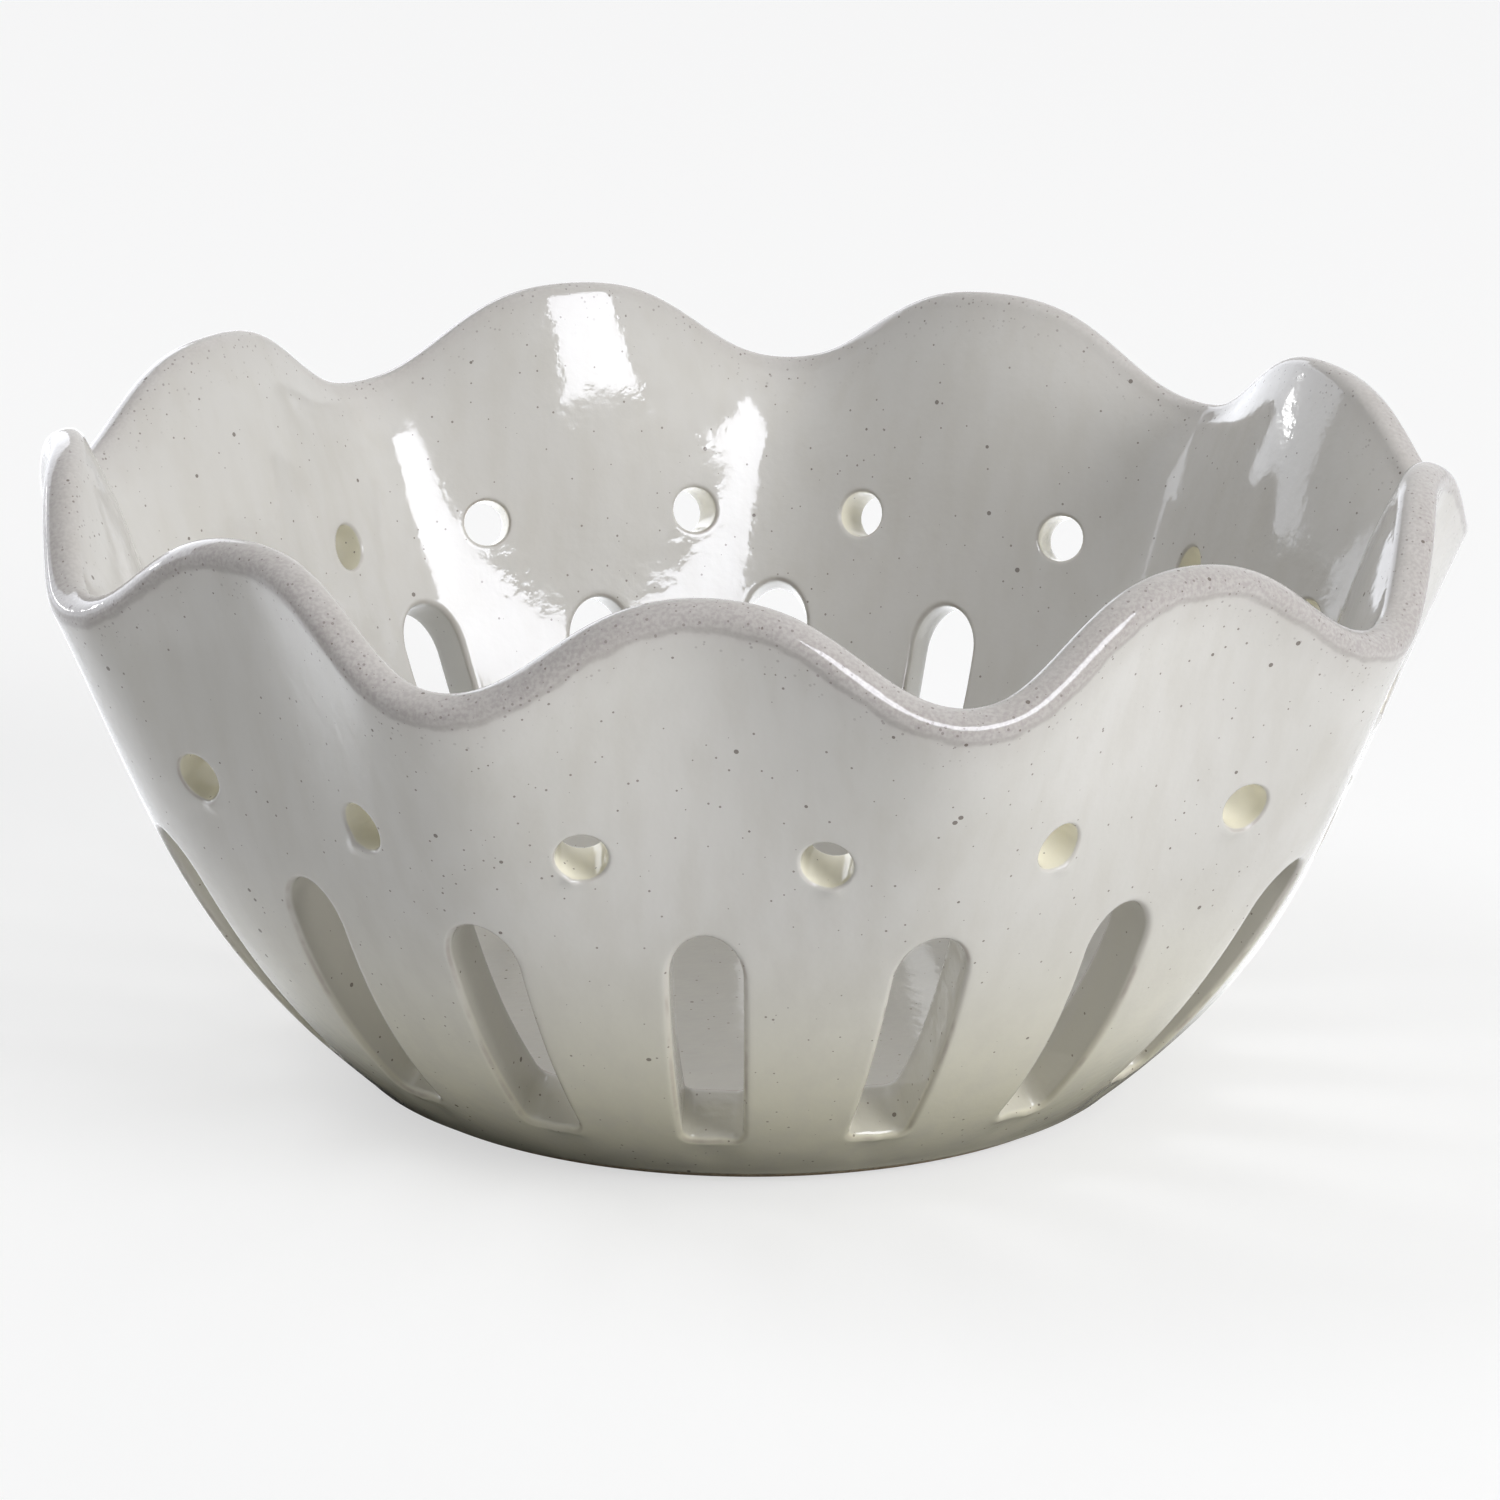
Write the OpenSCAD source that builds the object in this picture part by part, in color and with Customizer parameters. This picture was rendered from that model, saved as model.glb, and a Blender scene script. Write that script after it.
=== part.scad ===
// Small stoneware colander bowl for rinsing berries, pressed with a scalloped
// edge, pierced with drain holes and slots, and coated with one clear-gloss
// glaze. Millimetres, +Z up. The bowl's axis is the Z axis, it stands on
// z = 0, and one petal points along -Y.

/* [Bowl] */
// Number of petals round the edge
petals = 9; // [8:1:10]
// Radius of the outside wall where it meets the table
foot_r = 43; // [41:0.1:44]
// Lower control radius of the outside wall curve
belly_r = 76.7; // [75:0.1:78]
// Upper control radius of the outside wall curve
shoulder_r = 70.8; // [69:0.1:73]
// Radius that the wall curve reaches at the reference height
top_r = 88.4; // [87.5:0.1:89.5]
// Reference height of the wall curve
curve_h = 82; // [80:0.5:84]
// Thickness of the finished wall, glaze included
wall_t = 6.3; // [5.8:0.1:6.8]
// Thickness of the glaze
glaze_t = 0.4; // [0.3:0.05:0.5]

/* [Petals] */
// How far the corners between petals stand out from the round
petal_depth = 5.5; // [4.5:0.1:6.5]
// Height where the petals start to grow out of the round body
petal_from = 10.5; // [8:0.5:14]
// How fast the petals grow with height
petal_growth = 1.4; // [1.2:0.1:1.6]
// Mean height of the middle of the rim's round
rim_h = 66.3; // [65:0.1:67.5]
// Rise of a petal's tip above that height
rim_rise = 5.8; // [4:0.1:6.5]
// Height of the rim's rounded top above its middle line
rim_crown = 2; // [1.6:0.1:2.4]
// How much thinner the wall is at the rim
rim_thin = 1.8; // [1.4:0.1:2.2]

/* [Drain holes] */
// Diameter of a finished drain hole
hole_d = 5.7; // [5:0.1:6.5]
// Height of the drain holes on the outside
hole_z = 45.4; // [44:0.1:47]

/* [Drain slots] */
// Width of a finished slot where it is widest
slot_w = 7.8; // [7:0.1:8.5]
// Width of a slot near its lower end
slot_low_w = 6.4; // [5.5:0.1:7]
// Height of the round at a slot's upper end
slot_top_round = 5.3; // [4:0.1:6.5]
// Radius of the corners at a slot's lower end
slot_low_round = 1.2; // [0.8:0.1:1.6]
// Height of a slot's upper end on the outside
slot_top_z = 36; // [34:0.5:38]
// Height of a slot's lower end on the outside
slot_low_z = 7.2; // [7:0.1:9]

/* [Foot] */
// Width of the bare foot ring
foot_w = 5; // [4:0.5:6]
// Depth of the hollow under the foot
foot_hollow = 1.2; // [0.8:0.1:1.6]
// Height where the glaze stops above the table
glaze_line = 1.2; // [1:0.1:1.5]
// Height of the inside floor
floor_h = 6.2; // [5.8:0.1:6.6]

/* [Hidden] */
clay_colour = "#CBB9A0";
glaze_colour = "#C9C6BC";
// Angles of the wall's upright lines, closer together at the corners and none
// of them on the middle of a slot
lines = 10 * petals;
crowding = 2.2;
angles = [for (k = [0.5 : lines - 0.5]) let (th = 360 * k / lines)
    th + crowding * sin(petals * th)];
slot_pitch = 180 / petals;
foot_curl = 1.4;
foot_flat_r = foot_r - foot_curl;
hollow_r = foot_flat_r - foot_w;
arc_steps = 4;
fillet_steps = 3;
// Heights of the rings on the wall, as shares of the rim's height
rings = [0.09, 0.16, 0.25, 0.36, 0.49, 0.62, 0.75, 0.88, 1];
// How far the fillet between wall and floor runs in, halfway and at its end
fillet_mid = 4;
fillet_end = 14;
// Shares that flatten the petals and round the corners between them
lobe_flat = 0.09;
lobe_round = 0.012;
// Shares that shape the wave of the rim
rim_flat = 0.03;
rim_full = 0.045;
// How square the rim's round is: 1 is a plain ellipse, less is squarer
rim_square = 0.85;
// Share of the rim's height where the wall starts to thin
thin_from = 0.75;
// Height over which the petals grow to their full depth
petal_span = 65;
// How far the cutters stand out of the wall on either side
cut_reach = 6;
cut_facets = 48;
hollow_facets = 90;

// Outside wall before the petals: one cubic curve from foot to rim
function round_r(z) = let (u = z / curve_h, v = 1 - u)
    foot_r * v * v * v + 3 * belly_r * v * v * u
    + 3 * shoulder_r * v * u * u + top_r * u * u * u;
// Shape of the petals round the bowl: flat panels that meet at rounded corners
function lobe(th) = let (a = petals * th)
    -cos(a) + lobe_flat * cos(2 * a) - lobe_round * cos(3 * a);
function swell(z) = z <= petal_from ? 0
    : petal_depth * pow((z - petal_from) / petal_span, petal_growth);
function outer_r(th, z) = round_r(z) + swell(z) * lobe(th);
// Height of the middle of the rim's round at each angle
function rim_z(th) = let (a = petals * th)
    rim_h + rim_rise * (cos(a) - rim_flat * cos(2 * a) - rim_full * cos(3 * a));

function radial(th) = [sin(th), -cos(th), 0];
function around(th) = [cos(th), sin(th), 0];
function unit(v) = v / norm(v);
function skin(th, z) = outer_r(th, z) * radial(th) + [0, 0, z];
// Outward normal of the outside wall
function wall_n(th, z) = let (
        d = 0.05,
        r = outer_r(th, z),
        r_th = (outer_r(th + d, z) - outer_r(th - d, z)) / (2 * d * PI / 180),
        r_z = (outer_r(th, z + d) - outer_r(th, z - d)) / (2 * d))
    unit(radial(th) - (r_th / r) * around(th) - [0, 0, r_z]);
function below_skin(th, z, depth) = skin(th, z) - depth * wall_n(th, z);
// Direction straight out of the rim, square to its edge and to its thickness
function rim_up(th) = let (
        d = 0.5,
        along = skin(th + d, rim_z(th + d)) - skin(th - d, rim_z(th - d)))
    unit(cross(along, wall_n(th, rim_z(th)))) * -1;

function wall_at(share) = wall_t
    - rim_thin * pow(max(0, (share - thin_from) / (1 - thin_from)), 2);
function squared(c) = sign(c) * pow(abs(c), rim_square);

function ring_outer(share, inset) = [for (th = angles)
    below_skin(th, share * rim_z(th), inset)];
function ring_inner(share, inset) = [for (th = angles)
    below_skin(th, share * rim_z(th), wall_at(share) - inset)];
function ring_rim(turn, inset) = let (r = wall_at(1) / 2) [for (th = angles)
    let (n = wall_n(th, rim_z(th)))
    skin(th, rim_z(th)) - r * n + (r - inset) * squared(cos(turn)) * n
        + (rim_crown - inset) * squared(sin(turn)) * rim_up(th)];
function ring_flat(r, z) = [for (th = angles) r * radial(th) + [0, 0, z]];
// Fillet from the lowest ring of the inside wall to the floor
function fillet_r(u, r_wall, r_mid, r_floor) = (1 - u) * (1 - u) * r_wall
    + 2 * u * (1 - u) * r_mid + u * u * r_floor;
function ring_fillet(u, inset) = let (
        start = below_skin(0, rings[0] * rim_z(0), wall_t - inset),
        r_wall = norm([start[0], start[1]]),
        low = floor_h - inset,
        z = low + (start[2] - low) * (1 - u) * (1 - u))
    ring_flat(fillet_r(u, r_wall, r_wall - fillet_mid, r_wall - fillet_end), z);

// Rings up the outside, over the rim, down the inside and across the floor
function shell_rings(inset) = concat(
    [for (s = rings) ring_outer(s, inset)],
    [for (k = [1 : arc_steps - 1]) ring_rim(180 * k / arc_steps, inset)],
    [for (k = [len(rings) - 1 : -1 : 1]) ring_inner(rings[k], inset)],
    [for (k = [0 : fillet_steps]) ring_fillet(k / fillet_steps, inset)]);

// Closed solid from a stack of rings, with a point at each end
module ringed(stack, first, last) {
    n = len(angles);
    m = len(stack);
    points = concat([first], [for (ring = stack) each ring], [last]);
    function at(j, i) = 1 + j * n + i % n;
    faces = concat(
        [for (i = [0 : n - 1]) [0, at(0, i), at(0, i + 1)]],
        [for (j = [0 : m - 2], i = [0 : n - 1], k = [0, 1])
            k == 0 ? [at(j, i), at(j + 1, i + 1), at(j, i + 1)]
                : [at(j, i), at(j + 1, i), at(j + 1, i + 1)]],
        [for (i = [0 : n - 1]) [1 + m * n, at(m - 1, i + 1), at(m - 1, i)]]);
    polyhedron(points, faces, convexity = 10);
}

// Bowl of bare clay before it is pierced, with its foot ring
module clay_blank() {
    foot = [
        ring_flat(hollow_r - foot_hollow, foot_hollow),
        ring_flat(hollow_r, 0),
        ring_flat(foot_flat_r, 0),
        ring_flat(outer_r(0, glaze_line) - glaze_t, glaze_line)];
    ringed(concat(foot, shell_rings(glaze_t)), [0, 0, foot_hollow], [0, 0, floor_h - glaze_t]);
}

// Skin of glaze from the glaze line over the rim to the middle of the floor
module glaze_skin() {
    inside = shell_rings(glaze_t);
    edge = outer_r(0, glaze_line);
    ringed(concat(
        [for (k = [len(inside) - 1 : -1 : 0]) inside[k]],
        [ring_flat(edge - glaze_t, glaze_line), ring_flat(edge, glaze_line)],
        shell_rings(0)), [0, 0, floor_h - glaze_t], [0, 0, floor_h]);
}

// Round bar square to the wall at one place
module bar_through(th, z, d) {
    n = wall_n(th, z);
    translate(below_skin(th, z, wall_t / 2))
        rotate([0, acos(n[2]), atan2(n[1], n[0])])
            rotate([0, 0, 180])
                cylinder(h = 2 * (wall_t + cut_reach), d = d, center = true, $fn = cut_facets);
}

// Half the width of a slot at a height: widening from its lower corners up to
// the start of its round upper end
function slot_half(z) = let (
        up = min(1, (z - slot_low_z) / (slot_top_z - slot_top_round - slot_low_z)),
        side = (slot_low_w + (slot_w - slot_low_w) * sin(90 * up)) / 2,
        over = max(0, z - slot_top_z + slot_top_round) / slot_top_round,
        under = max(0, slot_low_z + slot_low_round - z) / slot_low_round)
    side * sqrt(max(0, 1 - over * over))
        - slot_low_round * (1 - sqrt(max(0, 1 - under * under)));
slot_levels = concat(
    [for (q = [90, 50, 15]) slot_low_z + slot_low_round * (1 - sin(q))],
    [for (s = [0.15, 0.42, 0.7]) slot_low_z + s * (slot_top_z - slot_low_z - slot_top_round)],
    [for (q = [0, 28, 50, 68, 82]) slot_top_z - slot_top_round * (1 - sin(q))]);

// One slot: its outline carried through the wall, square to it at each level
module slot_through(th) {
    rungs = [for (z = slot_levels) let (
            n = wall_n(th, z),
            side = slot_half(z) * around(th),
            out = skin(th, z) + cut_reach * n,
            in = skin(th, z) - (wall_t + cut_reach) * n)
        [out - side, out + side, in + side, in - side]];
    m = len(rungs);
    polyhedron([for (r = rungs) each r], concat(
        [[0, 1, 2, 3], [4 * m - 1, 4 * m - 2, 4 * m - 3, 4 * m - 4]],
        [for (k = [0 : m - 2]) each [
            [4 * k, 4 * k + 4, 4 * k + 5, 4 * k + 1],
            [4 * k + 2, 4 * k + 6, 4 * k + 7, 4 * k + 3],
            [4 * k + 1, 4 * k + 5, 4 * k + 6],
            [4 * k + 1, 4 * k + 6, 4 * k + 2],
            [4 * k + 3, 4 * k + 7, 4 * k + 4],
            [4 * k + 3, 4 * k + 4, 4 * k]]]), convexity = 4);
}

// Everything that is pierced through the wall
module drains() {
    for (k = [0 : 2 * petals - 1]) {
        bar_through((k + 0.5) * slot_pitch, hole_z, hole_d);
        slot_through(k * slot_pitch);
    }
}

module stoneware_body() {
    color(clay_colour)
        difference() {
            clay_blank();
            drains();
        }
}

module glaze_coat() {
    color(glaze_colour) {
        difference() {
            glaze_skin();
            drains();
        }
        // Glaze in the hollow under the foot
        translate([0, 0, foot_hollow - glaze_t])
            cylinder(h = glaze_t, r = hollow_r - foot_hollow, $fn = hollow_facets);
    }
}

stoneware_body();
glaze_coat();
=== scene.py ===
import math

import bmesh
import bpy
import numpy as np
from mathutils import Matrix, Vector


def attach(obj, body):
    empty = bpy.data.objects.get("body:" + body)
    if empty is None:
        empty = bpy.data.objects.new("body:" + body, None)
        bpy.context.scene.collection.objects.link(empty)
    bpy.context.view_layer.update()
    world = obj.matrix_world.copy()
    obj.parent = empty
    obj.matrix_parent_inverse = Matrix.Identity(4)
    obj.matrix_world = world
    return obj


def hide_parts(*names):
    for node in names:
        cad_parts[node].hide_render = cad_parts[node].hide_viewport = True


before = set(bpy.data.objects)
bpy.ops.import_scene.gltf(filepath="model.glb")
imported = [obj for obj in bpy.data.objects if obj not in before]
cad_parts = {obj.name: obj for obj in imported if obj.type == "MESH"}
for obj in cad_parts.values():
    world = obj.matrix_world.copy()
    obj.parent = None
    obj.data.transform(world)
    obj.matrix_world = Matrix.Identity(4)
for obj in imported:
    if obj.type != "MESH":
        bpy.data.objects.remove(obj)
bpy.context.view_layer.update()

MM = 0.001

# Glazed bowl: stoneware pressed to shape, pierced with holes and slots, and
# fired under a gloss glaze that is melted over it down to the glaze line. Below
# that line the clay is bare, and it has its own section further down.

# Sizes in millimetres, and angles in degrees from the middle of the front petal.
# The outside wall is one curve from foot to rim, nine petals grow out of it
# with height, and the wall thins a little towards the rim.
PETALS = 9
PITCH = 180 / PETALS
FOOT_R = 43.0
BELLY_R = 76.7
SHOULDER_R = 70.8
TOP_R = 88.4
CURVE_H = 82.0
WALL = 6.3
PETAL_DEPTH = 5.5
PETAL_FROM = 10.5
PETAL_SPAN = 65.0
PETAL_GROWTH = 1.4
LOBE_FLAT = 0.09
LOBE_ROUND = 0.012
RIM_H = 66.3
RIM_RISE = 5.8
RIM_FLAT = 0.03
RIM_FULL = 0.045
RIM_CROWN = 2.0
RIM_THIN = 1.8
RIM_SQUARE = 0.85
THIN_FROM = 50.2
FLOOR_H = 6.2
GLAZE_LINE = 1.2
GLAZE_T = 0.4
GLAZE_ROLL = 0.3
FOOT_FLAT_R = 41.6
HOLLOW_R = 36.6
FOOT_HOLLOW = 1.2

# Slow unevenness of a hand-finished pot: height of each wave in millimetres,
# waves round the bowl, turn per millimetre of height, and start. Below each
# slot is the shallow trough that the slot tool leaves in the clay.
WAVES = (
    (0.16, 2, 0.0, 0.7), (0.12, 3, 1 / 21, 2.1), (0.07, 7, -1 / 13, 4.0), (0.05, 13, 1 / 7, 1.3),
)
WAVES_FROM = 4.0
WAVES_FULL = 24.0
TROUGH_R = FOOT_R + 6
TROUGH_DEEP = 0.45
TROUGH_WIDE = 2.7
TROUGH_Z = 5.0
TROUGH_TALL = 2.2


def wobble(th, z):
    t = np.radians(th)
    fade = np.clip((z - WAVES_FROM) / (WAVES_FULL - WAVES_FROM), 0, 1)
    beside = np.radians((th + PITCH / 2) % PITCH - PITCH / 2) * TROUGH_R
    trough = np.exp(-((beside / TROUGH_WIDE) ** 2) - ((z - TROUGH_Z) / TROUGH_TALL) ** 2)
    waves = sum(high * np.sin(times * t + climb * z + start) for high, times, climb, start in WAVES)
    return -TROUGH_DEEP * trough + fade * waves


def outer_r(th, z):
    u = z / CURVE_H
    v = 1 - u
    a = np.radians(PETALS * th)
    lobe = -np.cos(a) + LOBE_FLAT * np.cos(2 * a) - LOBE_ROUND * np.cos(3 * a)
    grow = PETAL_DEPTH * (np.clip(z - PETAL_FROM, 0, None) / PETAL_SPAN) ** PETAL_GROWTH
    body = FOOT_R * v**3 + 3 * BELLY_R * v * v * u + 3 * SHOULDER_R * v * u * u + TOP_R * u**3
    return body + grow * lobe + wobble(th, z)


def rim_z(th):
    a = np.radians(PETALS * th)
    return RIM_H + RIM_RISE * (
        np.cos(a) - RIM_FLAT * np.cos(2 * a) - RIM_FULL * np.cos(3 * a)
    )


def radial(th):
    t = np.radians(th)
    return np.stack([np.sin(t), -np.cos(t), np.zeros_like(t)], -1)


def around(th):
    t = np.radians(th)
    return np.stack([np.cos(t), np.sin(t), np.zeros_like(t)], -1)


def unit(v):
    return v / np.linalg.norm(v, axis=-1, keepdims=True)


UP = np.array([0.0, 0.0, 1.0])


# Outward normal of the outside wall
def wall_n(th, z):
    d = 0.05
    r = outer_r(th, z)
    r_th = (outer_r(th + d, z) - outer_r(th - d, z)) / math.radians(2 * d)
    r_z = (outer_r(th, z + d) - outer_r(th, z - d)) / (2 * d)
    return unit(radial(th) - (r_th / r)[..., None] * around(th) - r_z[..., None] * UP)


# Point a given depth below the outside skin; a depth of WALL is the inside
def skin(th, z, depth=0.0):
    th, z, depth = np.broadcast_arrays(
        np.asarray(th, float), np.asarray(z, float), np.asarray(depth, float)
    )
    base = outer_r(th, z)[..., None] * radial(th) + z[..., None] * UP
    return base - depth[..., None] * wall_n(th, z)


# Thickness of the wall, which thins a little from above the holes to the rim
def wall_at(th, z):
    share = np.clip((z - THIN_FROM) / (rim_z(th) - THIN_FROM), 0, 1)
    return WALL - RIM_THIN * share**2


# Length along the wall's slope for one millimetre of height
def slope_len(th, z):
    d = 0.5
    return np.hypot(1.0, (outer_r(th, z + d) - outer_r(th, z - d)) / (2 * d))


# Patches of quads, with what the glaze needs to know at each point: how far
# it is from the rim's crest (mm), how near a cut's edge (0 far, 1 where the
# rounding starts, 2 on the cut's own wall), and its share from outside to
# inside. Past RIM_REACH nothing of the rim shows.
RIM_REACH = 30
points, quads, tags = [], [], []
count = 0


def patch(P, rim, edge, face):
    global count
    m, n = P.shape[:2]
    points.append(P.reshape(-1, 3))
    tag = np.stack([np.broadcast_to(np.asarray(a, float), (m, n)) for a in (rim, edge, face)], -1)
    tags.append(tag.reshape(-1, 3))
    k = count + np.arange(m * n).reshape(m, n)
    quads.append(
        np.stack([k[:-1, :-1], k[:-1, 1:], k[1:, 1:], k[1:, :-1]], -1).reshape(-1, 4)
    )
    count += m * n


def rim_far(th, z, crest=(WALL - RIM_THIN) * math.pi / 4):
    return np.clip(crest + (rim_z(th) - z) * slope_len(th, z), 0, RIM_REACH)


# Drains: slots at every 20 degrees, and a round hole above each gap between
# them, all cut square to the wall before the glaze. The glaze softens their
# edges and gathers in small beads at the bottom of each cut.
SLOT_W = 7.8
SLOT_LOW_W = 6.4
SLOT_LOW = 7.2
SLOT_TOP = 36.0
SLOT_TOP_ROUND = 5.3
SLOT_LOW_ROUND = 1.2
HOLE_R = 2.85
HOLE_Z = 45.4
SLOT_HALF = 6.3
SLOT_COLS = 16
HOLE_HALF = PITCH / 2 - SLOT_HALF
HOLE_COLS = 8
Z_BAND = (6.0, 38.4, 40.6, THIN_FROM)
SLOT_ROWS = 24
HOLE_ROWS = 8
MID_ROWS = 2
TOP_ROWS = 14
ARC_ROWS = 14
SLOT_SOFT = (0.8, 0.7)
HOLE_SOFT = (0.45, 0.5)
ROUND_START = SLOT_TOP - SLOT_TOP_ROUND
BEAD_LOSS_INSIDE = 0.6
BEAD_INTO_CUT = 0.5
RINGS_BUNCH = 1.3


# Half the width of a slot at a height: widening from its lower corners up to
# the start of its round upper end
def slot_half(z):
    up = np.clip((z - SLOT_LOW) / (ROUND_START - SLOT_LOW), 0, 1)
    side = (SLOT_LOW_W + (SLOT_W - SLOT_LOW_W) * np.sin(up * math.pi / 2)) / 2
    over = np.clip((z - ROUND_START) / SLOT_TOP_ROUND, 0, 1)
    under = np.clip((SLOT_LOW + SLOT_LOW_ROUND - z) / SLOT_LOW_ROUND, 0, 1)
    return side * np.sqrt(1 - over**2) - SLOT_LOW_ROUND * (1 - np.sqrt(1 - under**2))


# Where a ray meets the skin at a given depth: a few Newton steps on angle,
# height and length along the ray
def meet(origin, way, th, z, depth):
    t = np.full(th.shape, 0.0) + depth
    for _ in range(5):
        here = skin(th, z, depth)
        gap = here - (origin + t[..., None] * way)
        d = 0.02
        J = np.stack(
            [(skin(th + d, z, depth) - here) / d, (skin(th, z + d, depth) - here) / d, -way], -1
        )
        step = np.linalg.solve(J, -gap[..., None])[..., 0]
        th = th + step[..., 0]
        z = z + step[..., 1]
        t = t + step[..., 2]
    return th, z


# Boundary of the block of wall round a cut, counter-clockwise from outside
def block(th0, lo, hi, half, cols, rows):
    tc = np.linspace(th0 - half, th0 + half, cols + 1)
    zr = np.linspace(lo, hi, rows + 1)
    bt = np.concatenate([tc, np.full(rows - 1, tc[-1]), tc[::-1], np.full(rows - 1, tc[0])])
    bz = np.concatenate([np.full(cols + 1, lo), zr[1:-1], np.full(cols + 1, hi), zr[-2:0:-1]])
    return np.append(bt, bt[0]), np.append(bz, bz[0])


# Where each boundary point looks on a slot's outline: height, sideways offset
def slot_outline(th0, bt, bz):
    dx = np.radians(bt - th0) * outer_r(np.full_like(bz, th0), bz)
    row = (Z_BAND[1] - Z_BAND[0]) / SLOT_ROWS
    below = math.ceil((SLOT_LOW + SLOT_LOW_ROUND - Z_BAND[0]) / row - 1e-9)
    half_way = SLOT_COLS / 2 + below
    on_floor = (bt - th0) / SLOT_HALF * SLOT_COLS / 2
    up_side = np.sign(dx) * (SLOT_COLS / 2 + (bz - Z_BAND[0]) / row)
    p = np.where(bz < Z_BAND[0] + 1e-6, on_floor, up_side) / half_way
    flat_share, arc_share = 0.3, 0.62
    phi = np.clip((np.abs(p) - flat_share) / arc_share, 0, 1) * math.pi / 2
    z_end = Z_BAND[0] + below * row
    z_low = SLOT_LOW + SLOT_LOW_ROUND * (1 - np.cos(phi))
    rest = np.clip((np.abs(p) - flat_share - arc_share) / (1 - flat_share - arc_share), 0, 1)
    z_low = z_low + (z_end - SLOT_LOW - SLOT_LOW_ROUND) * rest
    q = np.arctan2((bz - ROUND_START) / SLOT_TOP_ROUND, np.abs(dx) / (SLOT_W / 2))
    z_top = ROUND_START + SLOT_TOP_ROUND * np.sin(q)
    z = np.where(bz < z_end - 1e-6, z_low, np.where(bz > ROUND_START, z_top, bz))
    x = np.sign(dx) * slot_half(z)
    flat = (bz < z_end - 1e-6) & (np.abs(p) < flat_share)
    x = np.where(flat, slot_half(np.full_like(z, SLOT_LOW)) * p / flat_share, x)
    return z, x, np.zeros_like(x)


def hole_outline(th0, bt, bz):
    mid = np.full_like(bz, th0)
    dx = np.radians(bt - th0) * outer_r(mid, np.full_like(bz, HOLE_Z))
    dy = (bz - HOLE_Z) * slope_len(mid, np.full_like(bz, HOLE_Z))
    a = np.arctan2(dy, dx)
    return np.full_like(bz, HOLE_Z), HOLE_R * np.cos(a), HOLE_R * np.sin(a)


rng = np.random.default_rng(7)


# One cut: the skin round it outside and inside, its softened edges and its
# own wall. beads are (sideways, up, height, width) in millimetres.
def pierce(th0, shape, outline, soft, rings, beads):
    bt, bz = block(th0, *shape)
    zc, x, y = outline(th0, bt, bz)
    mid = np.full_like(zc, th0)
    n = wall_n(mid, zc)
    side = around(mid)
    slope = np.cross(n, side)
    slope = slope * np.sign(slope[:, 2:3])
    base = skin(mid, zc)
    place = base + x[:, None] * side + y[:, None] * slope
    run = np.roll(place[:-1], -1, 0) - np.roll(place[:-1], 1, 0)
    run = np.vstack([run, run[:1]])
    nx, ny = (run * slope).sum(-1), -(run * side).sum(-1)
    size = np.hypot(nx, ny)
    nx, ny = nx / size, ny / size
    anchor = skin(np.array(float(th0)), np.array(float(np.mean(zc[:-1]) if y.any() else SLOT_LOW)))

    def raised(P):
        lift = np.zeros(P.shape[:-1])
        across = ((P - anchor) * side[0]).sum(-1)
        upward = P[..., 2] - anchor[2]
        for bx, by, tall, wide in beads:
            lift += tall * np.exp(-((across - bx) ** 2 + (upward - by) ** 2) / wide**2)
        return lift

    def cut_line(e, depth):
        origin = base + (x + e * nx)[:, None] * side + (y + e * ny)[:, None] * slope
        guess = th0 + np.degrees((x + e * nx) / outer_r(mid, zc))
        return meet(origin, -n, guess, zc + (y + e * ny) / slope_len(mid, zc), depth)

    def sheet(depth, e, face):
        t1, z1 = cut_line(e, depth)
        share = np.linspace(0, 1, rings + 1)[:, None]
        w = 1 - (1 - share) ** RINGS_BUNCH
        th, z = bt + (t1 - bt) * w, bz + (z1 - bz) * w
        P = skin(th, z, depth)
        lift = raised(P) * np.minimum(1, share * 3) * (1 - BEAD_LOSS_INSIDE * face)
        P = P + lift[..., None] * wall_n(th, z) * (1 if face == 0 else -1)
        patch(P, rim_far(th, z), share**3, face)

    sheet(0.0, soft[0], 0.0)
    sheet(WALL, soft[1], 1.0)
    quarter = np.linspace(0, math.pi / 2, 6)
    steps = [(soft[0] * (1 - math.sin(a)), soft[0] * (1 - math.cos(a)), 1 + a / (math.pi / 2))
             for a in quarter]
    steps += [(0.0, d, 2.0) for d in np.linspace(soft[0], WALL - soft[1], 5)[1:-1]]
    steps += [
        (soft[1] * (1 - math.cos(a)), WALL - soft[1] * (1 - math.sin(a)), 2 - a / (math.pi / 2))
        for a in quarter
    ]
    P, R, E, F = [], [], [], []
    for e, depth, edge in steps:
        th, z = cut_line(e, depth)
        here = skin(th, z, depth)
        n_here = wall_n(th, z)
        outward = n_here * (1 - 2 * depth / WALL)
        into_cut = -(nx[:, None] * side + ny[:, None] * slope)
        inward = into_cut * math.sin(math.pi * depth / WALL) * BEAD_INTO_CUT
        face = depth / WALL
        here = here + raised(here)[:, None] * (outward * (1 - BEAD_LOSS_INSIDE * face) + inward)
        P.append(here)
        R.append(rim_far(th, z))
        E.append(np.full(th.shape, edge))
        F.append(np.full(th.shape, face))
    patch(np.array(P), np.array(R), np.array(E), np.array(F))


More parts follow.
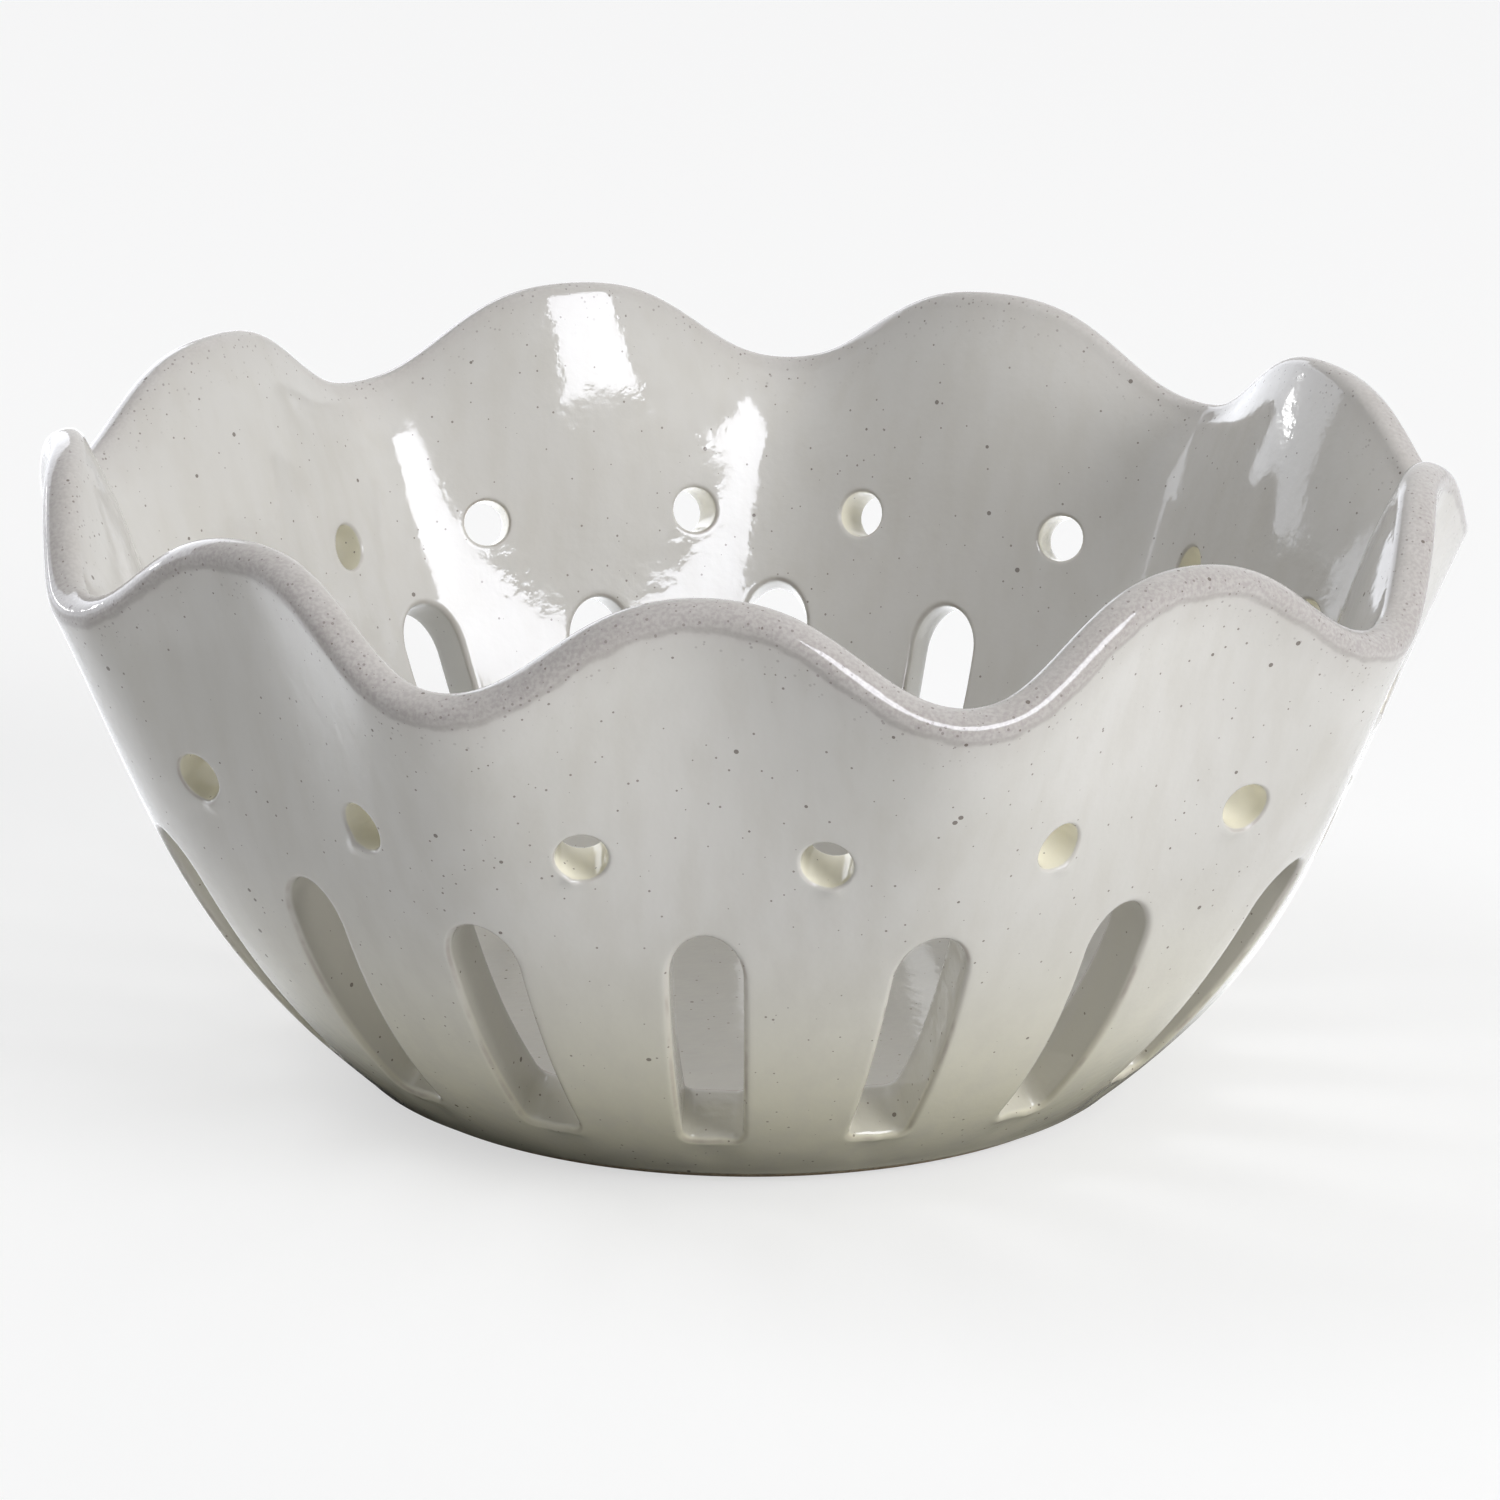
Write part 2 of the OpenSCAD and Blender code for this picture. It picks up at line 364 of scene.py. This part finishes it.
for k in range(2 * PETALS):
    low_x = SLOT_LOW_W / 2 - 0.6
    slot_beads = [
        (low_x * rng.choice((-1, 1)), 0.4 + rng.uniform(0, 0.6),
         rng.uniform(0.2, 0.4), rng.uniform(0.7, 1.1)),
        (rng.uniform(-1.6, 1.6), rng.uniform(-0.5, 0.1),
         rng.uniform(0.1, 0.3), rng.uniform(0.6, 0.9)),
    ]
    pierce(k * PITCH, (Z_BAND[0], Z_BAND[1], SLOT_HALF, SLOT_COLS, SLOT_ROWS),
           slot_outline, SLOT_SOFT, 4, slot_beads)
    a = math.radians(rng.uniform(-125, -65))
    hole_beads = [
        (HOLE_R * 1.08 * math.cos(a), HOLE_R * 1.05 * math.sin(a),
         rng.uniform(0.3, 0.5), rng.uniform(0.7, 1.0)),
        (HOLE_R * 0.9 * math.cos(a + 0.6), HOLE_R * math.sin(a + 0.6),
         rng.uniform(0.1, 0.25), 0.7),
    ]
    pierce((k + 0.5) * PITCH, (Z_BAND[2], Z_BAND[3], HOLE_HALF, HOLE_COLS, HOLE_ROWS),
           hole_outline, HOLE_SOFT, 4, hole_beads)

# Columns round the whole bowl, matching the blocks round the cuts
columns = []
for k in range(2 * PETALS):
    start, end = k * PITCH - SLOT_HALF, k * PITCH + SLOT_HALF
    columns += list(np.linspace(start, end, SLOT_COLS + 1)[:-1])
    columns += list(np.linspace(end, (k + 1) * PITCH - SLOT_HALF, HOLE_COLS + 1)[:-1])
columns = np.array(columns + [columns[0] + 360])


def plain(tc, zr, depth, face):
    th, z = np.meshgrid(tc, zr)
    patch(skin(th, z, depth), rim_far(th, z), 0.0, face)


for depth, face in ((0.0, 0.0), (WALL, 1.0)):
    for k in range(2 * PETALS):
        gap = np.linspace(k * PITCH + SLOT_HALF, (k + 1) * PITCH - SLOT_HALF, HOLE_COLS + 1)
        plain(gap, np.linspace(Z_BAND[0], Z_BAND[1], SLOT_ROWS + 1), depth, face)
        over = np.linspace(k * PITCH - SLOT_HALF, k * PITCH + SLOT_HALF, SLOT_COLS + 1)
        plain(over, np.linspace(Z_BAND[2], Z_BAND[3], HOLE_ROWS + 1), depth, face)
    plain(columns, np.linspace(Z_BAND[1], Z_BAND[2], MID_ROWS + 1), depth, face)
    s = np.linspace(0, 1, TOP_ROWS + 1)[:, None]
    th = np.broadcast_to(columns, (TOP_ROWS + 1, columns.size))
    z = Z_BAND[3] + (rim_z(th) - Z_BAND[3]) * s
    patch(skin(th, z, wall_at(th, z) * face), rim_far(th, z), 0.0, face)

# The rim's top is rounded over, with firmer edges than a full round
top = rim_z(columns)
rim_n = wall_n(columns, top)
d = 0.5
along = skin(columns + d, rim_z(columns + d)) - skin(columns - d, rim_z(columns - d))
rim_up = -unit(np.cross(along, rim_n))
half_rim = (WALL - RIM_THIN) / 2
core = skin(columns, top, half_rim)
turn = np.linspace(0, math.pi, ARC_ROWS + 1)[:, None, None]
across = half_rim * np.sign(np.cos(turn)) * np.abs(np.cos(turn)) ** RIM_SQUARE
arc = core + across * rim_n + RIM_CROWN * np.sin(turn) ** RIM_SQUARE * rim_up
arc[0], arc[-1] = skin(columns, top), skin(columns, top, WALL - RIM_THIN)
patch(arc, np.abs(turn[..., 0] - math.pi / 2) * half_rim, 0.0, turn[..., 0] / math.pi)

# Below the cuts: outside down to the glaze line with its rolled bead, under
# the foot, and inside the fillet and the floor
plain(columns, np.linspace(GLAZE_LINE + GLAZE_ROLL, Z_BAND[0], 6), 0.0, 0.0)


def ring(r, z):
    r, z = (np.broadcast_to(np.asarray(v, float), columns.shape)[:, None] for v in (r, z))
    return r * radial(columns) + z * UP


edge_r = outer_r(columns, np.full(columns.shape, GLAZE_LINE + GLAZE_ROLL))
bead = [
    ring(edge_r, GLAZE_LINE + GLAZE_ROLL),
    ring(edge_r - 0.14, GLAZE_LINE + 0.12),
    ring(edge_r - 0.34, GLAZE_LINE + 0.02),
    ring(edge_r - 0.62, GLAZE_LINE),
    ring(FOOT_R - 2.0, GLAZE_LINE + 1.2),
    ring(HOLLOW_R - 2.0, GLAZE_LINE + 1.2),
    ring(HOLLOW_R - 1.9, FOOT_HOLLOW - 0.1),
    ring(HOLLOW_R - 2.3, FOOT_HOLLOW - 0.35),
    ring(HOLLOW_R - 3.0, FOOT_HOLLOW - GLAZE_T),
] + [ring(r, FOOT_HOLLOW - GLAZE_T) for r in (30, 24, 18, 12, 6, 1.5, 0.001)]
patch(np.array(bead), RIM_REACH, 0.0, 0.0)

start = skin(columns, Z_BAND[0], WALL)
r_w = np.hypot(start[:, 0], start[:, 1])
FILLET = 14.0
FILLET_MID = 4.7
fillet = [start]
for u in np.linspace(0, 1, 11)[1:]:
    v = 1 - u
    fillet.append(ring(v * v * r_w + 2 * u * v * (r_w - FILLET_MID) + u * u * (r_w - FILLET),
                       FLOOR_H + (start[:, 2] - FLOOR_H) * v * v))
r_f = r_w - FILLET
fillet += [ring(r_f * s, FLOOR_H) for s in (0.88, 0.74, 0.6, 0.46, 0.32, 0.2, 0.1, 0.03, 0.00003)]
patch(np.array(fillet), RIM_REACH, 0.0, 1.0)


WELD_M = 3e-6


def closed_mesh(name, points, quads, tags=None):
    mesh = bpy.data.meshes.new(name)
    mesh.from_pydata((points * MM).tolist(), [], quads.tolist())
    if tags is not None:
        for i, key in enumerate(("rim_mm", "edge", "inside")):
            layer = mesh.attributes.new(key, "FLOAT", "POINT")
            layer.data.foreach_set("value", tags[:, i].astype(np.float32))
    bm = bmesh.new()
    bm.from_mesh(mesh)
    bmesh.ops.remove_doubles(bm, verts=bm.verts, dist=WELD_M)
    bmesh.ops.recalc_face_normals(bm, faces=bm.faces)
    loose = [e for e in bm.edges if len(e.link_faces) != 2]
    print(name, len(bm.verts), "points", len(bm.faces), "faces", len(loose), "open edges")
    bm.to_mesh(mesh)
    bm.free()
    for p in mesh.polygons:
        p.use_smooth = True
    obj = bpy.data.objects.new(name, mesh)
    bpy.context.scene.collection.objects.link(obj)
    return obj


# Materials: one function turns sRGB hex to linear colour, and one adds a node.
# Its inputs go by name or number, and a value that is a socket is linked
def colour(text):
    v = [int(text[i:i + 2], 16) / 255 for i in (1, 3, 5)]
    return [x / 12.92 if x < 0.04045 else ((x + 0.055) / 1.055) ** 2.4 for x in v] + [1]


def node(tree, kind, inputs=None, out=0, **settings):
    made = tree.nodes.new("ShaderNode" + kind)
    for key, value in settings.items():
        setattr(made, key, value)
    for key, value in (inputs or {}).items():
        if hasattr(value, "links"):
            tree.links.new(value, made.inputs[key])
        else:
            made.inputs[key].default_value = value
    return made.outputs[out] if len(made.outputs) else made


def material(name):
    made = bpy.data.materials.new(name)
    made.use_nodes = True
    made.node_tree.nodes.clear()
    return made, made.node_tree


# Settings that recur: a soft ramp (value, two levels, the share at each), a
# product of two shares, and a blend of two colours
SOFT = {"interpolation_type": "SMOOTHSTEP"}
TIMES = {"operation": "MULTIPLY"}
BLEND = {"data_type": "RGBA", "out": 2}


# Specks: one possible speck in each cell of a given size, shown where the
# cell's own random number falls under a share
def specks(tree, where, cell_mm, speck_mm, share):
    cells = node(tree, "TexVoronoi", {"Vector": where, "Scale": 1 / (cell_mm * MM)}, "Color")
    dice = node(tree, "SeparateColor", {"Color": cells}).node.outputs
    largest = speck_mm / cell_mm / 2
    radius = node(tree, "MapRange", {0: dice[1], 1: 0, 2: 1, 3: 0.35 * largest, 4: largest}, **SOFT)
    near = node(tree, "Math", {0: cells.node.outputs["Distance"], 1: radius}, operation="LESS_THAN")
    chosen = node(tree, "Math", {0: dice[0], 1: share}, operation="LESS_THAN")
    return node(tree, "Math", {0: near, 1: chosen}, **TIMES)


# Gloss glaze: melted glass over pale warm clay. It looks wet and clear, with
# iron specks, creamier where it pools low down, thin and purple grey where it
# runs off the rim, and brown where it breaks over a cut's edge. Its colour also
# holds painted light and shade: painted shade in grey on the inside low down,
# painted light on the inner half of the rim's band, and on a cut's own wall
# painted light in the holes and painted shade in the slots
glaze, tree = material("gloss_glaze_speckled")
where = node(tree, "TexCoord", out="Object")
streak_at = node(tree, "Mapping", {"Vector": where, "Scale": (1, 1, 0.07)})
height = node(tree, "SeparateXYZ", {0: where}, 2)
rim, edge, inside = [
    node(tree, "Attribute", out="Fac", attribute_name=name) for name in ("rim_mm", "edge", "inside")
]

# Uneven patterns: size in millimetres, fineness and place
patterns = {
    "cloud": (22.0, 2.0, where), "streak": (3.2, 3.0, streak_at), "ragged": (3.6, 4.0, where),
    "mottle": (0.42, 3.0, where), "patchy": (5.0, 3.0, where), "gloss": (3.0, 2.0, where),
    "swim": (5.0, 2.0, where), "peel": (1.1, 2.0, where),
}
noise = {
    name: node(tree, "TexNoise", {"Vector": at, "Scale": 1 / (size * MM), "Detail": detail})
    for name, (size, detail, at) in patterns.items()
}
RAGGED_MM = 1.6
wander = node(tree, "Math", {0: noise["ragged"], 1: RAGGED_MM}, **TIMES)
ragged = node(tree, "Math", {0: rim, 1: wander}, operation="ADD")

# Where each thing shows: its measure, the two levels between which it comes
# in, and the share at each. Heights are in metres, distances from the rim in
# millimetres, and the other levels have no unit.
ramps = {
    "cloud": (noise["cloud"], 0.35, 0.65),
    "inner_wall": (inside, 0.6, 1.0),
    "low": (height, 0.040, 0.006),
    "low_outside": (inside, 0.6, 0.8, 0.9, 0.0),
    # painted shade: the inside low down, where the bowl's floor lies in shade, is darkened
    "low_inside": (inside, 0.7, 1.0, 0.0, 0.75),
    "streak": (noise["streak"], 0.35, 0.75, 0.0, 0.28),
    "halo": (ragged, 9.5, 4.0, 0.0, 0.16),
    "strap": (ragged, 5.2, 3.0),
    # painted light: the rim's band fades to 0.3 on its inner half, which the light from the right
    # falls on
    "strap_outside": (inside, 0.3, 1.0, 1.0, 0.3),
    "mottle": (noise["mottle"], 0.3, 0.7, 0.34, 0.64),
    "line_from": (ragged, 3.6, 4.0),
    "line_to": (ragged, 4.7, 4.2),
    "line_outside": (inside, 0.5, 0.1, 0.0, 0.3),
    "break_from": (edge, 1.15, 1.4),
    "break_to": (edge, 1.75, 1.5),
    "break_patchy": (noise["patchy"], 0.48, 0.66, 0.1, 0.5),
    # holes above, slots below: picks painted light for the holes' walls and painted shade for the
    # slots' walls
    "in_hole": (height, 0.038, 0.041),
    "cut_wall": (edge, 1.6, 2.0, 0.0, 0.8),
    "near_rim": (rim, 9.0, 2.0),
    "rough": (noise["gloss"], 0.3, 0.7, 0.05, 0.12),
    "drip_cut": (edge, 1.3, 1.8),
    "drip_low": (height, 0.013, 0.009, 0.35, 1.0),
}
show = {name: node(tree, "MapRange", dict(enumerate(row)), **SOFT) for name, row in ramps.items()}

# Colours laid over each other, each where all its shares meet: clouds, inner
# wall, cream low down outside, painted shade in grey low down inside, streaks,
# the rim's halo, band (fainter on its inner half as painted light) and line, the
# break over a cut's edge, a cut's own wall (cream glaze lightened as painted
# light in the holes, darker grey as painted shade in the slots), and the iron
# specks
# a cut's own wall: darker grey in the slots as painted shade; in the holes, the thicker glaze's
# cream made brighter as painted light
cut_cream_painted_light_and_shade = node(tree, "Mix", {
    0: show["in_hole"], 6: colour("#BFBCB1"), 7: colour("#F4F0DC"),
}, **BLEND)
layers = [
    (colour("#D1CFCB"), show["cloud"]),
    (colour("#CBC9C5"), show["inner_wall"]),
    (colour("#CECAB3"), show["low"], show["low_outside"]),
    # painted shade in grey on the inside low down
    (colour("#ADAAA2"), show["low"], show["low_inside"]),
    (colour("#BEBAB1"), show["streak"]),
    (colour("#A8A19E"), show["halo"]),
    # rim's band of thin glaze, made fainter on its inner half as painted light
    (colour("#938A8A"), show["strap"], show["strap_outside"], show["mottle"]),
    (colour("#8A817E"), show["line_from"], show["line_to"], show["line_outside"]),
    (colour("#9C8E86"), show["break_from"], show["break_to"], show["break_patchy"]),
    (cut_cream_painted_light_and_shade, show["cut_wall"]),
    (colour("#6A5D55"), specks(tree, where, 1.15, 0.3, 0.5), 0.7),
    (colour("#6A5D5A"), specks(tree, where, 0.75, 0.34, 0.75), show["near_rim"], 0.5),
    (colour("#584A40"), specks(tree, where, 3.2, 0.6, 0.5), 0.75),
]
base = colour("#CBC9C4")
for tint, share, *others in layers:
    for other in others:
        share = node(tree, "Math", {0: share, 1: other}, **TIMES)
    base = node(tree, "Mix", {0: share, 6: base, 7: tint}, **BLEND)

# Surface: slow swim, fine orange peel, and drips at the slots' low ends
LEAST_PEEL = 0.4
drips = node(tree, "Math", {0: show["drip_cut"], 1: show["drip_low"]}, **TIMES)
drips = node(tree, "Math", {0: drips, 1: LEAST_PEEL}, operation="MAXIMUM")
swim = node(tree, "Bump", {"Strength": 0.5, "Distance": 0.15 * MM, "Height": noise["swim"]})
peel = node(tree, "Bump", {
    "Strength": drips, "Distance": 0.07 * MM, "Height": noise["peel"], "Normal": swim,
})
gloss = node(tree, "BsdfPrincipled", {
    "Base Color": base, "IOR": 1.58, "Roughness": show["rough"], "Normal": peel,
})
node(tree, "OutputMaterial", {"Surface": gloss})

coat = closed_mesh(
    "glazed_bowl", np.concatenate(points), np.concatenate(quads), np.concatenate(tags)
)
coat.data.materials.append(glaze)
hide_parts("glaze_coat")
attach(coat, "root")

# Bare foot ring: the buff stoneware that the bowl stands on, wiped free of
# glaze and ground flat. It is part of the clay and reaches up under the glaze
foot_rings = [
    (FOOT_R + 0.85, 1.18), (FOOT_R + 0.45, 0.75), (FOOT_R - 0.15, 0.35), (FOOT_R - 0.8, 0.1),
    (FOOT_FLAT_R - 0.1, 0.0), (FOOT_FLAT_R - 1.4, 0.0),
    (HOLLOW_R + 1.4, 0.0), (HOLLOW_R + 0.2, 0.0),
    (HOLLOW_R - 0.5, 0.2), (HOLLOW_R - 1.1, 0.6), (HOLLOW_R - 1.5, 1.1), (HOLLOW_R - 1.6, 2.2),
    (FOOT_R - 2.0, 2.3), (FOOT_R - 0.2, 1.6), (FOOT_R + 0.85, 1.18),
]
points, quads, tags, count = [], [], [], 0
patch(np.array([ring(r, z) for r, z in foot_rings]), 0, 0, 0)

# Bare stoneware: fired buff clay, matt and sandy, with dark grog
clay, tree = material("bare_buff_stoneware")
where = node(tree, "TexCoord", out="Object")
grain = node(tree, "TexNoise", {"Vector": where, "Scale": 1 / (0.8 * MM), "Detail": 4.0})
sandy = node(tree, "MapRange", {0: grain, 1: 0.3, 2: 0.7}, **SOFT)
grog = node(tree, "Math", {0: specks(tree, where, 1.4, 0.4, 0.5), 1: 0.7}, **TIMES)
base = node(tree, "Mix", {0: sandy, 6: colour("#B9A284"), 7: colour("#D2C0A4")}, **BLEND)
base = node(tree, "Mix", {0: grog, 6: base, 7: colour("#5E4A3A")}, **BLEND)
gritty = node(tree, "Bump", {"Strength": 0.6, "Distance": 0.12 * MM, "Height": grain})
matt = node(tree, "BsdfPrincipled", {"Base Color": base, "Roughness": 0.85, "Normal": gritty})
node(tree, "OutputMaterial", {"Surface": matt})

foot = closed_mesh("bare_foot_ring", np.concatenate(points), np.concatenate(quads))
foot.data.materials.append(clay)
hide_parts("stoneware_body")
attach(foot, "root")

# Floor: a plain pale sheet of paper, white to the camera with the bowl's
# shadow on it. In the gloss it glows as a painted reflection, brightest away
# from the foot and at the back left, as the photo's low wall shows. To other
# rays it is darker near the foot as a painted shadow, so it throws less light there
FLOOR_HALF = 3.0
floor_mesh = bpy.data.meshes.new("floor")
floor_mesh.from_pydata(
    [(x * FLOOR_HALF, y * FLOOR_HALF, 0) for x, y in ((-1, -1), (1, -1), (1, 1), (-1, 1))],
    [], [(0, 1, 2, 3)],
)
floor = bpy.data.objects.new("floor", floor_mesh)
bpy.context.scene.collection.objects.link(floor)
paper, tree = material("pale_paper")
rays = node(tree, "LightPath").node.outputs
spot = node(tree, "TexCoord", out="Object")
from_foot = node(tree, "VectorMath", {0: spot}, "Value", operation="LENGTH")
sideways, backward, _ = node(tree, "SeparateXYZ", {0: spot}).node.outputs
# where the painted shadow ends near the foot, and where the painted reflection glows: clear of the
# foot, towards the back and to the left
ramps = [
    (from_foot, 0.044, 0.07),
    (from_foot, 0.046, 0.068),
    (backward, -0.045, 0.0),
    (sideways, 0.02, 0.12, 1.0, 0.25),
]
far, clear, behind, left = [node(tree, "MapRange", dict(enumerate(row)), **SOFT) for row in ramps]
shine = node(tree, "Math", {0: clear, 1: behind}, **TIMES)
shine = node(tree, "Math", {0: shine, 1: left}, **TIMES)
# painted shadow: the sheet is darker near the foot for light bouncing off it
shade = node(tree, "Mix", {0: far, 6: colour("#7E7E7E"), 7: colour("#E8E8E8")}, **BLEND)
sheet = node(tree, "BsdfDiffuse", {"Color": shade})
# painted reflection: the sheet glows in the gloss, though it is no lamp
sheet_shine = node(tree, "Emission", {"Color": colour("#F6F9FF"), "Strength": shine})
sheet_gloss = node(tree, "AddShader", {0: sheet, 1: sheet_shine})
sheet_lit = node(tree, "BsdfDiffuse", {"Color": colour("#A0A0A0")})
sheet_glow = node(tree, "Emission", {"Color": colour("#FFFFFF"), "Strength": 0.62})
sheet_seen = node(tree, "AddShader", {0: sheet_lit, 1: sheet_glow})
surface = node(tree, "MixShader", {0: rays["Is Glossy Ray"], 1: sheet, 2: sheet_gloss})
surface = node(tree, "MixShader", {0: rays["Is Camera Ray"], 1: surface, 2: sheet_seen})
node(tree, "OutputMaterial", {"Surface": surface})
floor.data.materials.append(paper)

# Background: near white to the camera, through the holes and in the gloss, and
# a dim room for the fill light
world = bpy.data.worlds.new("studio")
bpy.context.scene.world = world
world.use_nodes = True
tree = world.node_tree
tree.nodes.clear()
rays = node(tree, "LightPath").node.outputs
seen = rays["Is Camera Ray"]
for kind in ("Is Transmission Ray", "Is Glossy Ray"):
    seen = node(tree, "Math", {0: seen, 1: rays[kind]}, operation="MAXIMUM")
dim = node(tree, "Background", {"Color": colour("#E4E6E8"), "Strength": 0.12})
white = node(tree, "Background", {"Color": colour("#FDFDFD"), "Strength": 1.0})
both = node(tree, "MixShader", {0: seen, 1: dim, 2: white})
node(tree, "OutputWorld", {"Surface": both})


# Lamps: plain soft boxes. Each has an azimuth to the right of the camera's side
# and an elevation in degrees, a distance and a size in metres, a brightness, a
# tint, and whether it shows in the gloss or lights the surface
LAMP_AIM_H = 0.04


def softbox(name, azimuth, elevation, distance, size, bright, tint, serves):
    data = bpy.data.lights.new(name, "AREA")
    data.shape = "RECTANGLE"
    data.size, data.size_y = size
    data.energy = math.pi * size[0] * size[1] * bright
    data.color = colour(tint)[:3]
    obj = bpy.data.objects.new(name, data)
    a, e = math.radians(azimuth), math.radians(elevation)
    way = Vector((math.sin(a) * math.cos(e), -math.cos(a) * math.cos(e), math.sin(e)))
    obj.location = Vector((0, 0, LAMP_AIM_H)) + way * distance
    obj.rotation_euler = (-way).to_track_quat("-Z", "Y").to_euler()
    obj.visible_glossy = serves == "gloss"
    obj.visible_diffuse = serves == "surface"
    bpy.context.scene.collection.objects.link(obj)


softbox("main_box", 43, 35, 2.0, (1.04, 0.86), 9.0, "#F4F6FF", "gloss")
softbox("cool_left", -132, 14, 1.5, (1.80, 0.96), 1.9, "#F1F5FF", "gloss")
softbox("window_left", -124, 13, 1.5, (0.30, 0.045), 14, "#FFFFFF", "gloss")
softbox("ceiling", 0, 90, 2.4, (3.0, 3.0), 0.82, "#FFFFFF", "surface")
softbox("soft_right", 56, 23, 1.8, (1.1, 0.9), 8.8, "#FFFFFF", "surface")
softbox("high_left", -100, 50, 1.8, (0.9, 0.9), 3.4, "#FBFCFF", "surface")
softbox("soft_back", 175, 35, 1.8, (1.0, 0.8), 2.0, "#FFFFFF", "surface")

# Camera: the viewing angle and the lens that the photograph gives
EYE_UP = 16.563
EYE_FAR = 0.748891
EYE_ROUND = 3.247
EYE_YAW = -0.047
EYE_PITCH = 0.097
EYE_ROLL = -0.667
AIM_H = 0.035
LENS = 157.58
tilt = math.radians(EYE_UP)
place = Vector((0, -EYE_FAR * math.cos(tilt), EYE_FAR * math.sin(tilt) + AIM_H))
ahead = Vector((0, math.cos(tilt), -math.sin(tilt)))
right = Vector((1, 0, 0))
above = right.cross(ahead)
for axis_name, angle in (("above", EYE_YAW), ("right", EYE_PITCH), ("ahead", EYE_ROLL)):
    axis = {"above": above, "right": right, "ahead": ahead}[axis_name]
    spin = Matrix.Rotation(math.radians(angle), 3, axis)
    ahead, right, above = spin @ ahead, spin @ right, spin @ above
round_z = Matrix.Rotation(math.radians(EYE_ROUND), 3, "Z")
ahead, right, above, place = (round_z @ v for v in (ahead, right, above, place))
camera_data = bpy.data.cameras.new("camera")
camera_data.lens = LENS
camera_data.sensor_width = 36
camera_data.clip_start = 0.05
camera_data.clip_end = 20
camera = bpy.data.objects.new("camera", camera_data)
bpy.context.scene.collection.objects.link(camera)
pose = Matrix((right, above, -ahead)).transposed().to_4x4()
pose.translation = place
camera.matrix_world = pose
bpy.context.scene.camera = camera

bpy.context.scene.view_settings.view_transform = "Standard"
